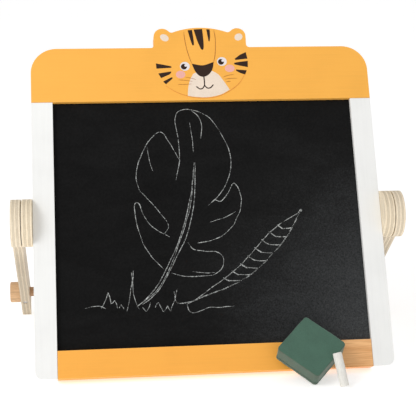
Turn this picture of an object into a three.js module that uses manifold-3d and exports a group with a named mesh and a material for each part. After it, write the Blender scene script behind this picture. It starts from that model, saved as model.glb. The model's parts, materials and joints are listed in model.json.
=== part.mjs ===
// Tabletop drawing easel for a child: a framed double-sided board that leans back on two pivoting legs.
// Millimetres, +Z up. +X is the board's right seen from the front, and the board faces -Y.
// The board group's own axes are: X to the right, Y up the board from its bottom edge, Z out of its front.

import * as THREE from 'three';
import { mergeVertices } from 'three/addons/utils/BufferGeometryUtils.js';
import Module from 'manifold-3d';

const wasm = await Module();
wasm.setup();

// ---- Driving dimensions -------------------------------------------------------------------------

// Frame
const boardWidth = 400;
const boardThickness = 16;
const openingHeight = 288.5;
const bottomRailHeight = 30.5;
const topRailHeight = 66.5;
const sideRailWidth = 24.4;
const topCornerRadius = 30;
const bottomCornerRadius = 9;

// Head outline on the top rail
const headRise = 25.4;
const headRadius = 93;
const earOffsetX = 44.9;
const earCentreRise = 14.3;
const earRadius = 10.2;
const earDipFillet = 5;
const earFootFillet = 4;

// Panels in the frame's groove
const panelRecess = 6;
const chalkPanelThickness = 2.5;
const wipePanelThickness = 2.5;
const panelInsertion = 6.5;
const grooveBottomClearance = 0.5;

// Frame dowels
const topDowelRadius = 4;
const bottomDowelRadius = 3;
const dowelLength = 30;
const dowelEndClearance = 0.5;
const topDowelInset = 9;
const bottomDowelInset = 6;

// Legs
const pivotHeight = 177.5;
const legHeadRadius = 27;
const legWidth = 30;
const legThickness = 11;
const legNeckFillet = 18;
const legOpenAngle = THREE.MathUtils.degToRad(77);
const spacerRadius = 27;
const spacerThickness = 12;

// Pivot hardware
const boltRadius = 3;
const boltHeadRadius = 6;
const boltHeadHeight = 3;
const socketAcrossFlats = 4;
const socketDepth = 2;
const insertRadius = 4.5;
const insertLength = 13;
const boltEndClearance = 1;
const frictionWasherRadius = 25;
const frictionWasherThickness = 0.5;
const headWasherRadius = 6.3;
const headWasherThickness = 1;
const counterboreClearance = 0.7;
const runningClearance = 0.3;

// Cross rod, its knobs and its screws
const rodRadius = 6;
const rodSwingClearance = 6.3;
const footLength = 38.6;
const knobRadius = 13;
const knobLength = 13;
const knobEdgeRadius = 1.5;
const knobSocketDepth = 9;
const screwRadius = 1.5;
const screwHeadRadius = 2.8;
const screwHeadHeight = 1.6;
const screwHeadSink = 0.6;
const screwBite = 7;

// Loose pieces
const eraserSide = 55.1;
const eraserCornerRadius = 4;
const eraserBlockThickness = 15.6;
const eraserFeltThickness = 4.2;
const eraserX = 101.5;
const eraserLean = THREE.MathUtils.degToRad(38.6);
const eraserTurn = THREE.MathUtils.degToRad(-43.1);
const chalkRadius = 5;
const chalkLength = 36.9;
const chalkRestAlongEdge = 32.4;
const chalkSideTilt = THREE.MathUtils.degToRad(-9.7);
const chalkBackTilt = THREE.MathUtils.degToRad(24);

// Gap between touching pieces, and the roundness of circles
const seatGap = 0.3;
const floorGap = 0.3;
const roundSegments = 40;
const smallSegments = 24;
const arcSegments = 12;

// ---- Derived sizes ------------------------------------------------------------------------------

const boardHeight = bottomRailHeight + openingHeight + topRailHeight;
const halfWidth = boardWidth / 2;
const openingBottom = bottomRailHeight;
const openingTop = bottomRailHeight + openingHeight;
const openingHalfWidth = halfWidth - sideRailWidth;
const midPlane = -boardThickness / 2;
const grooveReach = panelInsertion + grooveBottomClearance;
const bottomDowelHeights = [bottomDowelInset, bottomRailHeight - grooveReach - bottomDowelInset];
const chalkPanelFront = -panelRecess;
const wipePanelFront = chalkPanelFront - chalkPanelThickness - seatGap;
const wipePanelBack = wipePanelFront - wipePanelThickness;

const spacerInnerX = halfWidth + seatGap;
const frictionWasherInnerX = spacerInnerX + spacerThickness + seatGap;
const legInnerX = frictionWasherInnerX + frictionWasherThickness + seatGap;
const legOuterX = legInnerX + legThickness;
const boltHeadInnerX = legOuterX - seatGap - boltHeadHeight;
const headWasherInnerX = boltHeadInnerX - seatGap - headWasherThickness;
const counterboreFloorX = headWasherInnerX - seatGap;
const insertInnerX = halfWidth - insertLength;
const boltEndX = insertInnerX + boltEndClearance;
const runningBore = boltRadius + runningClearance;

// The rod can swing past the board's bottom edge, and the foot ends beyond the rod.
const rodReach = Math.hypot(pivotHeight, boardThickness / 2) + rodSwingClearance + rodRadius;
const legLength = rodReach + footLength;
const openCos = Math.cos(legOpenAngle);
const openSin = Math.sin(legOpenAngle);
const footCornerY = pivotHeight - legLength * openCos - (legWidth / 2) * openSin;
const footCornerZ = midPlane - legLength * openSin + (legWidth / 2) * openCos;
const boardLean = Math.atan2(-boardThickness - footCornerZ, footCornerY);

// ---- Materials ----------------------------------------------------------------------------------

function finish(color, roughness, metalness = 0) {
  return new THREE.MeshStandardMaterial({ color, roughness, metalness });
}

const orangePaint = finish(0xf9b555, 0.45);
const whitePaint = finish(0xf5f5f2, 0.45);
const chalkboardPaint = finish(0x1c1c1c, 0.85);
const wipeSurface = finish(0xf4f5f5, 0.25);
const plywood = finish(0xe4d3b8, 0.6);
const beech = finish(0xd6af86, 0.55);
const steel = finish(0xb8babd, 0.35, 1);
const brassAlloy = finish(0xb08d4a, 0.4, 1);
const nylon = finish(0xe9e6de, 0.5);
const greenFoam = finish(0x4f6a5b, 0.9);
const greenFelt = finish(0x4a6355, 1);
const chalkWhite = finish(0xdde2db, 0.95);

// ---- Helpers ------------------------------------------------------------------------------------

function toSolid(geometry) {
  const bare = geometry.clone();
  bare.deleteAttribute('normal');
  bare.deleteAttribute('uv');
  const merged = mergeVertices(bare, 1e-4);
  return new wasm.Manifold(new wasm.Mesh({
    numProp: 3,
    vertProperties: new Float32Array(merged.attributes.position.array),
    triVerts: new Uint32Array(merged.index.array),
  }));
}

function toGeometry(solid) {
  const mesh = solid.getMesh();
  const geometry = new THREE.BufferGeometry();
  geometry.setAttribute('position', new THREE.BufferAttribute(new Float32Array(mesh.vertProperties), 3));
  geometry.setIndex(new THREE.BufferAttribute(new Uint32Array(mesh.triVerts), 1));
  geometry.computeVertexNormals();
  return geometry;
}

function cut(geometry, cutters) {
  let solid = toSolid(geometry);
  for (const cutter of cutters) {
    solid = solid.subtract(toSolid(cutter));
  }
  return toGeometry(solid);
}

function addMesh(parent, name, geometry, material) {
  const mesh = new THREE.Mesh(geometry, material);
  mesh.name = name;
  parent.add(mesh);
  return mesh;
}

function boxBetween(low, high) {
  const size = high.map((value, axis) => value - low[axis]);
  const centre = high.map((value, axis) => (value + low[axis]) / 2);
  return new THREE.BoxGeometry(...size).translate(...centre);
}

// A cylinder whose axis runs along X from one end to the other, centred on a point in Y and Z.
function barX(radius, fromX, toX, y, z, segments = smallSegments) {
  const bar = new THREE.CylinderGeometry(radius, radius, Math.abs(toX - fromX), segments);
  bar.rotateZ(Math.PI / 2);
  return bar.translate((fromX + toX) / 2, y, z);
}

function barY(radius, fromY, toY, x, z) {
  const bar = new THREE.CylinderGeometry(radius, radius, toY - fromY, smallSegments);
  return bar.translate(x, (fromY + toY) / 2, z);
}

function extrudeFront(shape, backZ, frontZ) {
  const settings = { depth: frontZ - backZ, bevelEnabled: false, curveSegments: arcSegments };
  return new THREE.ExtrudeGeometry(shape, settings).translate(0, 0, backZ);
}

// A flat outline in the legs' swinging plane, given thickness along X on one side of the board.
function extrudeSideways(shape, side, innerX, outerX) {
  const settings = { depth: outerX - innerX, bevelEnabled: false, curveSegments: arcSegments };
  const plate = new THREE.ExtrudeGeometry(shape, settings).rotateY(Math.PI / 2);
  const startX = side > 0 ? innerX : -outerX;
  return plate.translate(startX, 0, 0);
}

function circleHole(radius, x, y) {
  const hole = new THREE.Path();
  hole.absarc(x, y, radius, 0, Math.PI * 2, true);
  return hole;
}

function roundedSquare(side, radius) {
  const half = side / 2;
  const inner = half - radius;
  const shape = new THREE.Shape();
  shape.moveTo(half, -inner);
  shape.lineTo(half, inner);
  shape.absarc(inner, inner, radius, 0, Math.PI / 2);
  shape.lineTo(-inner, half);
  shape.absarc(-inner, inner, radius, Math.PI / 2, Math.PI);
  shape.lineTo(-half, -inner);
  shape.absarc(-inner, -inner, radius, Math.PI, Math.PI * 1.5);
  shape.lineTo(inner, -half);
  shape.absarc(inner, -inner, radius, Math.PI * 1.5, Math.PI * 2);
  return shape;
}

// ---- Frame --------------------------------------------------------------------------------------

// Centre of the hollow that joins the head's arc to the ear's circle, above both centres.
function dipCentre(earCentreY, headCentreY) {
  const dx = earOffsetX;
  const dy = earCentreY - headCentreY;
  const distance = Math.hypot(dx, dy);
  const toHead = headRadius + earDipFillet;
  const toEar = earRadius + earDipFillet;
  const along = (distance ** 2 + toHead ** 2 - toEar ** 2) / (2 * distance);
  const across = Math.sqrt(toHead ** 2 - along ** 2);
  return {
    x: (along * dx - across * dy) / distance,
    y: headCentreY + (along * dy + across * dx) / distance,
  };
}

function topRailShape() {
  const headCentreY = boardHeight + headRise - headRadius;
  const earCentreY = boardHeight + earCentreRise;
  const earOuterX = earOffsetX + earRadius;
  const footX = earOuterX + earFootFillet;
  const footY = boardHeight + earFootFillet;
  const dip = dipCentre(earCentreY, headCentreY);
  const dipFromEar = Math.atan2(dip.y - earCentreY, dip.x - earOffsetX);
  const dipFromHead = Math.atan2(dip.y - headCentreY, dip.x);
  const cornerX = halfWidth - topCornerRadius;
  const cornerY = boardHeight - topCornerRadius;
  const shape = new THREE.Shape();
  shape.moveTo(-halfWidth, openingTop);
  shape.lineTo(halfWidth, openingTop);
  shape.lineTo(halfWidth, cornerY);
  shape.absarc(cornerX, cornerY, topCornerRadius, 0, Math.PI / 2);
  shape.lineTo(footX, boardHeight);
  shape.absarc(footX, footY, earFootFillet, -Math.PI / 2, -Math.PI, true);
  shape.lineTo(earOuterX, earCentreY);
  shape.absarc(earOffsetX, earCentreY, earRadius, 0, dipFromEar);
  shape.absarc(dip.x, dip.y, earDipFillet, dipFromEar - Math.PI, dipFromHead - Math.PI, true);
  shape.absarc(0, headCentreY, headRadius, dipFromHead, Math.PI - dipFromHead);
  shape.absarc(-dip.x, dip.y, earDipFillet, -dipFromHead, -dipFromEar, true);
  shape.absarc(-earOffsetX, earCentreY, earRadius, Math.PI - dipFromEar, Math.PI);
  shape.lineTo(-earOuterX, footY);
  shape.absarc(-footX, footY, earFootFillet, 0, -Math.PI / 2, true);
  shape.lineTo(-cornerX, boardHeight);
  shape.absarc(-cornerX, cornerY, topCornerRadius, Math.PI / 2, Math.PI);
  return shape;
}

function sideRailShape(side) {
  const outerX = side * halfWidth;
  const innerX = side * openingHalfWidth;
  const cornerX = side * (halfWidth - bottomCornerRadius);
  const topY = openingTop - seatGap;
  const shape = new THREE.Shape();
  shape.moveTo(innerX, 0);
  shape.lineTo(cornerX, 0);
  if (side > 0) {
    shape.absarc(cornerX, bottomCornerRadius, bottomCornerRadius, -Math.PI / 2, 0);
  } else {
    shape.absarc(cornerX, bottomCornerRadius, bottomCornerRadius, -Math.PI / 2, -Math.PI, true);
  }
  shape.lineTo(outerX, topY);
  shape.lineTo(innerX, topY);
  return shape;
}

function bottomRailShape() {
  const endX = openingHalfWidth - seatGap;
  const shape = new THREE.Shape();
  shape.moveTo(-endX, 0);
  shape.lineTo(endX, 0);
  shape.lineTo(endX, bottomRailHeight);
  shape.lineTo(-endX, bottomRailHeight);
  return shape;
}

// One pocket for both panels, cut into all four rails.
function grooveCutter() {
  return boxBetween(
    [-openingHalfWidth - grooveReach, openingBottom - grooveReach, wipePanelBack - seatGap],
    [openingHalfWidth + grooveReach, openingTop + grooveReach, chalkPanelFront + seatGap],
  );
}

function topDowelHole(side) {
  const half = dowelLength / 2 + dowelEndClearance;
  const x = side * (halfWidth - topDowelInset);
  return barY(topDowelRadius + seatGap, openingTop - half, openingTop + half, x, midPlane);
}

function bottomDowelHole(side, height) {
  const half = dowelLength / 2 + dowelEndClearance;
  const x = side * openingHalfWidth;
  return barX(bottomDowelRadius + seatGap, x - half, x + half, height, midPlane);
}

function insertHole(side) {
  const innerX = side * (insertInnerX - seatGap);
  const outerX = side * (halfWidth + seatGap);
  return barX(insertRadius + seatGap, innerX, outerX, pivotHeight, midPlane);
}

function addFrame(board) {
  const groove = grooveCutter();
  const sides = [-1, 1];
  const label = { '-1': 'left', 1: 'right' };

  const topRail = extrudeFront(topRailShape(), -boardThickness, 0);
  addMesh(board, 'top_rail', cut(topRail, [groove, ...sides.map(topDowelHole)]), orangePaint);

  const bottomHoles = sides.flatMap(
    (side) => bottomDowelHeights.map((height) => bottomDowelHole(side, height)),
  );
  const bottomRail = extrudeFront(bottomRailShape(), -boardThickness, 0);
  addMesh(board, 'bottom_rail', cut(bottomRail, [groove, ...bottomHoles]), orangePaint);

  for (const side of sides) {
    const rail = extrudeFront(sideRailShape(side), -boardThickness, 0);
    const holes = bottomDowelHeights.map((height) => bottomDowelHole(side, height));
    const cutters = [groove, topDowelHole(side), insertHole(side), ...holes];
    addMesh(board, `${label[side]}_rail`, cut(rail, cutters), whitePaint);

    const dowelX = side * (halfWidth - topDowelInset);
    const half = dowelLength / 2;
    const topDowel = barY(topDowelRadius, openingTop - half, openingTop + half, dowelX, midPlane);
    addMesh(board, `dowel_top_${label[side]}`, topDowel, beech);
    bottomDowelHeights.forEach((height, index) => {
      const x = side * openingHalfWidth;
      const dowel = barX(bottomDowelRadius, x - half, x + half, height, midPlane);
      addMesh(board, `dowel_bottom_${label[side]}_${index + 1}`, dowel, beech);
    });
  }
}

function addPanels(board) {
  const halfPanel = openingHalfWidth + panelInsertion;
  const low = openingBottom - panelInsertion;
  const high = openingTop + panelInsertion;
  const chalkPanel = boxBetween(
    [-halfPanel, low, chalkPanelFront - chalkPanelThickness],
    [halfPanel, high, chalkPanelFront],
  );
  const wipePanel = boxBetween([-halfPanel, low, wipePanelBack], [halfPanel, high, wipePanelFront]);
  addMesh(board, 'chalkboard_panel', chalkPanel, chalkboardPaint);
  addMesh(board, 'whiteboard_panel', wipePanel, wipeSurface);
}

// ---- Pivots -------------------------------------------------------------------------------------

function ring(innerRadius, outerRadius, thickness, segments) {
  const profile = [
    new THREE.Vector2(innerRadius, 0),
    new THREE.Vector2(outerRadius, 0),
    new THREE.Vector2(outerRadius, thickness),
    new THREE.Vector2(innerRadius, thickness),
    new THREE.Vector2(innerRadius, 0),
  ];
  return new THREE.LatheGeometry(profile, segments);
}

// Turns a lathe shape so that its axis points outwards along X, starting at the given distance.
function pointOutwards(geometry, side, innerX) {
  geometry.rotateZ(-side * Math.PI / 2);
  return geometry.translate(side * innerX, 0, 0);
}

function boltGeometry() {
  const headBottom = boltHeadInnerX - boltEndX;
  const headTop = headBottom + boltHeadHeight;
  const profile = [
    new THREE.Vector2(0, 0),
    new THREE.Vector2(boltRadius, 0),
    new THREE.Vector2(boltRadius, headBottom),
    new THREE.Vector2(boltHeadRadius, headBottom),
    new THREE.Vector2(boltHeadRadius, headTop),
    new THREE.Vector2(0, headTop),
  ];
  const socketRadius = socketAcrossFlats / Math.sqrt(3);
  const socket = new THREE.CylinderGeometry(socketRadius, socketRadius, socketDepth * 2, 6);
  socket.translate(0, headTop, 0);
  return cut(new THREE.LatheGeometry(profile, smallSegments), [socket]);
}

function addPivot(board, side, label) {
  const pivot = new THREE.Group();
  pivot.position.set(0, pivotHeight, midPlane);
  board.add(pivot);

  const spacer = ring(runningBore, spacerRadius, spacerThickness, roundSegments);
  addMesh(pivot, `spacer_disc_${label}`, pointOutwards(spacer, side, spacerInnerX), plywood);

  const friction = ring(runningBore, frictionWasherRadius, frictionWasherThickness, roundSegments);
  const frictionPlaced = pointOutwards(friction, side, frictionWasherInnerX);
  addMesh(pivot, `friction_washer_${label}`, frictionPlaced, nylon);

  const insert = ring(runningBore, insertRadius, insertLength - seatGap, smallSegments);
  addMesh(pivot, `threaded_insert_${label}`, pointOutwards(insert, side, insertInnerX), brassAlloy);

  addMesh(pivot, `pivot_bolt_${label}`, pointOutwards(boltGeometry(), side, boltEndX), steel);

  const headWasher = ring(runningBore, headWasherRadius, headWasherThickness, smallSegments);
  addMesh(pivot, `head_washer_${label}`, pointOutwards(headWasher, side, headWasherInnerX), steel);
}

// ---- Leg frame ----------------------------------------------------------------------------------

// Paddle outline: a round head on the pivot and a straight tail that points to -Y.
function legShape() {
  const half = legWidth / 2;
  const filletCentreX = half + legNeckFillet;
  const filletCentreY = -Math.sqrt((legHeadRadius + legNeckFillet) ** 2 - filletCentreX ** 2);
  const joinAngle = Math.atan2(filletCentreY, filletCentreX);
  const shape = new THREE.Shape();
  shape.moveTo(-half, -legLength);
  shape.lineTo(half, -legLength);
  shape.lineTo(half, filletCentreY);
  shape.absarc(filletCentreX, filletCentreY, legNeckFillet, Math.PI, Math.PI + joinAngle, true);
  shape.absarc(0, 0, legHeadRadius, joinAngle, Math.PI - joinAngle);
  shape.absarc(-filletCentreX, filletCentreY, legNeckFillet, -joinAngle, 0, true);
  shape.holes.push(circleHole(runningBore, 0, 0));
  shape.holes.push(circleHole(rodRadius + seatGap, 0, -rodReach));
  return shape;
}

// A small countersunk wood screw along +Z, driven from the leg's edge into the rod.
function screwGeometry(extra) {
  const headZ = legWidth / 2 - screwHeadSink;
  const tipZ = rodRadius - screwBite;
  const profile = [
    new THREE.Vector2(0, tipZ - extra),
    new THREE.Vector2(screwRadius + extra, tipZ - extra),
    new THREE.Vector2(screwRadius + extra, headZ - screwHeadHeight),
    new THREE.Vector2(screwHeadRadius + extra, headZ - extra),
    new THREE.Vector2(screwHeadRadius + extra, headZ + (extra > 0 ? screwHeadSink + extra : 0)),
    new THREE.Vector2(0, headZ + (extra > 0 ? screwHeadSink + extra : 0)),
  ];
  return new THREE.LatheGeometry(profile, smallSegments).rotateX(Math.PI / 2);
}

function knobGeometry() {
  const arc = [];
  for (let step = 0; step <= 4; step += 1) {
    const angle = (step / 4) * (Math.PI / 2);
    arc.push(new THREE.Vector2(
      knobRadius - knobEdgeRadius * (1 - Math.cos(angle)),
      knobLength - knobEdgeRadius * (1 - Math.sin(angle)),
    ));
  }
  const socketRadius = rodRadius + seatGap;
  const profile = [
    new THREE.Vector2(0, knobSocketDepth),
    new THREE.Vector2(socketRadius, knobSocketDepth),
    new THREE.Vector2(socketRadius, 0),
    new THREE.Vector2(knobRadius, 0),
    ...arc,
    new THREE.Vector2(0, knobLength),
  ];
  return new THREE.LatheGeometry(profile, roundSegments);
}

function addLegs(board) {
  const legs = new THREE.Group();
  legs.position.set(0, pivotHeight, midPlane);
  legs.rotation.x = legOpenAngle;
  board.add(legs);

  const screwX = (legInnerX + legOuterX) / 2;
  const screwHoles = [];
  for (const [side, label] of [[-1, 'left'], [1, 'right']]) {
    const screwHole = screwGeometry(seatGap).translate(side * screwX, -rodReach, 0);
    screwHoles.push(screwHole);
    const plate = extrudeSideways(legShape(), side, legInnerX, legOuterX);
    const counterbore = barX(
      headWasherRadius + counterboreClearance,
      side * counterboreFloorX,
      side * (legOuterX + seatGap),
      0,
      0,
    );
    addMesh(legs, `leg_${label}`, cut(plate, [counterbore, screwHole]), plywood);

    const screw = screwGeometry(0).translate(side * screwX, -rodReach, 0);
    addMesh(legs, `rod_screw_${label}`, screw, steel);

    const knob = pointOutwards(knobGeometry(), side, legOuterX + seatGap);
    addMesh(legs, `rod_knob_${label}`, knob.translate(0, -rodReach, 0), beech);
  }

  const rodEndX = legOuterX + knobSocketDepth;
  const rod = barX(rodRadius, -rodEndX, rodEndX, -rodReach, 0, roundSegments);
  addMesh(legs, 'cross_rod', cut(rod, screwHoles), beech);
}

// ---- Loose pieces -------------------------------------------------------------------------------

// Position in the standing easel's frame of a point given in the board's own axes.
function boardPoint(x, y, z) {
  const depth = z + boardThickness;
  return new THREE.Vector3(
    x,
    y * Math.cos(boardLean) - depth * Math.sin(boardLean),
    y * Math.sin(boardLean) + depth * Math.cos(boardLean),
  );
}

// The eraser stands on one corner and leans back on the bottom rail's top edge, or on the chalkboard
// where its upper corner would meet that first.
function addEraser(easel) {
  const spread = Math.abs(Math.cos(eraserTurn)) + Math.abs(Math.sin(eraserTurn));
  const cornerReach = (eraserSide / 2 - eraserCornerRadius) * spread + eraserCornerRadius;
  const railEdge = boardPoint(0, bottomRailHeight, 0);
  const centreZ = floorGap + cornerReach * Math.sin(eraserLean);
  const upslopeY = Math.cos(eraserLean);
  const upslopeZ = Math.sin(eraserLean);
  const onRailY = railEdge.y - (upslopeY * (railEdge.z - centreZ) + seatGap) / upslopeZ;
  const panelDepth = boardThickness + chalkPanelFront + seatGap;
  const topCornerZ = centreZ + cornerReach * upslopeZ;
  const panelY = (topCornerZ * Math.cos(boardLean) - panelDepth) / Math.sin(boardLean);
  const onPanelY = panelY - cornerReach * upslopeY;
  const eraser = new THREE.Group();
  eraser.position.set(eraserX, Math.min(onRailY, onPanelY), centreZ);
  eraser.rotation.set(eraserLean, 0, eraserTurn);
  easel.add(eraser);

  const outline = roundedSquare(eraserSide, eraserCornerRadius);
  const feltTop = eraserFeltThickness;
  const blockBottom = feltTop + seatGap;
  const blockTop = blockBottom + eraserBlockThickness;
  addMesh(eraser, 'eraser_felt', extrudeFront(outline, 0, feltTop), greenFelt);
  addMesh(eraser, 'eraser_block', extrudeFront(outline, blockBottom, blockTop), greenFoam);
  eraser.updateMatrixWorld(true);
  const half = eraserSide / 2;
  return {
    edgeStart: eraser.localToWorld(new THREE.Vector3(half, -half, blockTop)),
    edgeEnd: eraser.localToWorld(new THREE.Vector3(half, half, blockTop)),
    faceNormal: new THREE.Vector3(0, 0, 1).transformDirection(eraser.matrixWorld),
    sideNormal: new THREE.Vector3(1, 0, 0).transformDirection(eraser.matrixWorld),
  };
}

// The chalk stands on the floor and leans on the eraser's lower right edge.
function addChalk(easel, rest) {
  const axis = new THREE.Vector3(0, 0, 1);
  axis.applyEuler(new THREE.Euler(-chalkBackTilt, chalkSideTilt, 0));
  const edge = rest.edgeEnd.clone().sub(rest.edgeStart).normalize();
  const touch = rest.edgeStart.clone().addScaledVector(edge, chalkRestAlongEdge);
  const away = new THREE.Vector3().crossVectors(edge, axis).normalize();
  if (away.dot(rest.faceNormal) + away.dot(rest.sideNormal) < 0) {
    away.negate();
  }
  const onAxis = touch.addScaledVector(away, chalkRadius + seatGap);
  const rimDrop = chalkRadius * Math.sqrt(1 - axis.z ** 2);
  const toFloor = (onAxis.z - rimDrop - floorGap) / axis.z;
  const middle = onAxis.addScaledVector(axis, chalkLength / 2 - toFloor);
  const chalk = addMesh(
    easel,
    'chalk_stick',
    new THREE.CylinderGeometry(chalkRadius, chalkRadius, chalkLength, smallSegments),
    chalkWhite,
  );
  chalk.quaternion.setFromUnitVectors(new THREE.Vector3(0, 1, 0), axis);
  chalk.position.copy(middle);
}

// ---- Assembly -----------------------------------------------------------------------------------

// The board leans back so that its back bottom edge and the legs' lower foot corners stand level.
const easel = new THREE.Group();
const board = new THREE.Group();
board.rotation.x = boardLean;
board.position.copy(boardPoint(0, 0, 0));
easel.add(board);

addFrame(board);
addPanels(board);
addPivot(board, -1, 'left');
addPivot(board, 1, 'right');
addLegs(board);
const eraserRest = addEraser(easel);
addChalk(easel, eraserRest);

// The origin is on the floor under the middle of the whole set.
easel.updateMatrixWorld(true);
const bounds = new THREE.Box3().setFromObject(easel, true);
easel.position.set(-(bounds.min.x + bounds.max.x) / 2, -(bounds.min.y + bounds.max.y) / 2, -bounds.min.z);

const group = new THREE.Group();
group.add(easel);

export default group;
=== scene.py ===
"""Looks of a child's tabletop easel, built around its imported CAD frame.

Sizes and places on the object are written in millimetres, and MM turns them into metres. The board's own
axes are X to its right seen from the front, Y up the board from its bottom edge, and Z out of its front.
"""

import json
import math
import random

import bmesh
import bpy
from mathutils import Matrix, Vector, geometry, noise

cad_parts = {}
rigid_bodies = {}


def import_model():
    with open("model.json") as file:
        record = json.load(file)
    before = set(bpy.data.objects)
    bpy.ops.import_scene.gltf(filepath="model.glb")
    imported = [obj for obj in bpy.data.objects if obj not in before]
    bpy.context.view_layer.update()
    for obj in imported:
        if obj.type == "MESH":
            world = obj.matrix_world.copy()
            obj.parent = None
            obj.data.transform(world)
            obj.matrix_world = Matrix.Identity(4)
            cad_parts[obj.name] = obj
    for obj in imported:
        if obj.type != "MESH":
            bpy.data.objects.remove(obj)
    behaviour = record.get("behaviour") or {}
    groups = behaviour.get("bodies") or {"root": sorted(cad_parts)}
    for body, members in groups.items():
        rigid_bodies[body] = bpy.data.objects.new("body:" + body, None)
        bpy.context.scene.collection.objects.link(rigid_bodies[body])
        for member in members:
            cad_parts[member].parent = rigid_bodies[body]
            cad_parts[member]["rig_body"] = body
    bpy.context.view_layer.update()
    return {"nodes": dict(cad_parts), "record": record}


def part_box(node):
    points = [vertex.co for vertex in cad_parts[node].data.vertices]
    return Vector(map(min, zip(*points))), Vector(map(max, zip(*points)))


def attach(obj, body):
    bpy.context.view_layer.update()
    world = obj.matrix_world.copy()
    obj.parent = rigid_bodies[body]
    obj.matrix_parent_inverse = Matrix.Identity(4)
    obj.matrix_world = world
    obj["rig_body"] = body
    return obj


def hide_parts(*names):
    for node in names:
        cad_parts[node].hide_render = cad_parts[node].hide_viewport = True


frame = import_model()

MM = 0.001
CHANCE = random.Random(20)

# ---- Driving values -------------------------------------------------------------------------------

# Camera: its place from the hinge in metres, its heading from +Y towards +X and its drop, in degrees
CAMERA_FROM_HINGE = (-0.1445, -1.2647, 0.3024)
CAMERA_HEADING = 6.47
CAMERA_DROP = 12.84
CAMERA_LENS = 98.5

# Light: the white room, the lamp's place from the hinge and its size in metres, and the floor's own glow
ROOM_STRENGTH = 0.58
LAMP_FROM_HINGE = (-1.6, -1.4, 1.45)
LAMP_SIZE = 1.2
LAMP_POWER = 24.0
FLOOR_GLOW = 0.50

# Angles of the part's design, in degrees: the legs' opening, and the eraser's lean
LEG_OPENING = 77.0
ERASER_LEAN = 38.6

# Rise of the head's top over the rail's straight top edge
HEAD_RISE = 25.4

# Height of the head's base over the zero of the drawing's heights, and how far the print sits lower
DRAWING_DROP = 388.0
PRINT_DROP = 0.5

# Rounding of edges, and the least turn between faces that counts as an edge
RAIL_EDGE = 1.1
PLY_EDGE = 0.6
TURNED_EDGE = 0.4
METAL_EDGE = 0.2
FOAM_EDGE = 1.6
FELT_EDGE = 1.0
EDGE_SEGMENTS = 3
SHARP = math.radians(30)
FLAT = math.radians(0.5)
WELD = 1e-6

# Thin layers: the print on the head, and the chalk marks on the board
PRINT_GAP = 0.04
PRINT_LAYER = 0.06
MARK_GAP = 0.03
MARK_DEPTH = 0.10

# Drawn lines: the steps between two points of a path, and a stroke's share of its written width
PATH_STEPS = 6
STROKE_SHARE = 0.88

# The feather's barbs, placed by hundredths of its length: how many, the first, their spacing and slant
FEATHER_STEPS = 100
BARBS = 8
BARB_FIRST = 34
BARB_STEP = 7
BARB_SLANT = 4

# Plywood: the number of plies, the painted shade's tone on the legs' lower parts, and where under the hinge
# that shade fades in
PLY_COUNT = 5
LEG_SHADE_TONE = 0.68
LEG_SHADE_FADE = (20.0, 60.0)

# Bottom rail: where bare grain through thinner paint, which also stands in as painted shade for the eraser's
# shadow, starts to the right of the middle, and over what distance
GRAIN_AND_SHADE_START = 84.0
GRAIN_AND_SHADE_FADE = 40.0

# Worn top of the chalk: how far over its middle the wear starts, and how deep it goes with height and side
CHALK_WEAR_START = 17.0
CHALK_WEAR = 0.12

# Each wood's tint over its colour in the record
TOP_RAIL_TINT = (1.05, 1.03, 0.84)
BOTTOM_RAIL_TINT = (1.05, 0.97, 0.76)
DISC_TINT = (1.18, 1.21, 1.24)
LEG_TINT = (1.16, 1.20, 1.26)
# The rod's tint is painted shade: it darkens the rod's beech below that of the knobs
ROD_SHADE_TINT = (0.72, 0.68, 0.7)

# ---- Facts of the frame ---------------------------------------------------------------------------

COLOURS = {entry["slot"]: tuple(entry["base_color"]) for entry in frame["record"]["materials"]}

FRONT = Vector(frame["record"]["mounts"][0]["axis"]).normalized()
RIGHT = Vector((1.0, 0.0, 0.0))
UP = FRONT.cross(RIGHT)
BOARD_LEAN = math.atan2(UP.z, UP.y)
LEG_LEAN = BOARD_LEAN + math.radians(LEG_OPENING)
JOINTS = {joint["name"]: joint for joint in frame["record"]["behaviour"]["joints"]}
HINGE = Vector(JOINTS["legs_hinge"]["pos_m"])


def reach(node, axis):
    """Furthest place of a CAD node along an axis, in metres."""
    return max(vertex.co.dot(axis) for vertex in frame["nodes"][node].data.vertices)


ORIGIN = FRONT * reach("left_rail", FRONT) - UP * reach("left_rail", -UP)
HEAD_BASE = (reach("top_rail", UP) - ORIGIN.dot(UP)) / MM - HEAD_RISE
PANEL_FRONT = (reach("chalkboard_panel", FRONT) - ORIGIN.dot(FRONT)) / MM
BOARD = (
    Matrix.Translation(ORIGIN)
    @ Matrix((RIGHT, UP, FRONT)).transposed().to_4x4()
    @ Matrix.Scale(MM, 4)
)

# ---- Writing shader nodes -------------------------------------------------------------------------


def add(tree, kind, inputs=None, **settings):
    """Adds a shader node. An input given as a socket is linked, and any other value is set."""
    made = tree.nodes.new(kind)
    for key, value in settings.items():
        setattr(made, key, value)
    for key, value in (inputs or {}).items():
        if isinstance(value, bpy.types.NodeSocket):
            tree.links.new(value, made.inputs[key])
        else:
            made.inputs[key].default_value = value
    return made


def spread(tree, size, lean=0.0):
    """Object coordinates in axes that lean about X, divided by a feature's size in millimetres."""
    where = add(tree, "ShaderNodeTexCoord").outputs["Object"]
    settings = {"Vector": where, "Rotation": (lean, 0.0, 0.0), "Scale": tuple(side * MM for side in size)}
    return add(tree, "ShaderNodeMapping", settings, vector_type="TEXTURE").outputs["Vector"]


def speckle(tree, size, lean=0.0, detail=2.0, twist=0.0):
    """Soft noise with features of a size in millimetres."""
    settings = {"Vector": spread(tree, size, lean), "Scale": 1.0, "Detail": detail, "Distortion": twist}
    return add(tree, "ShaderNodeTexNoise", settings).outputs[0]


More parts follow.
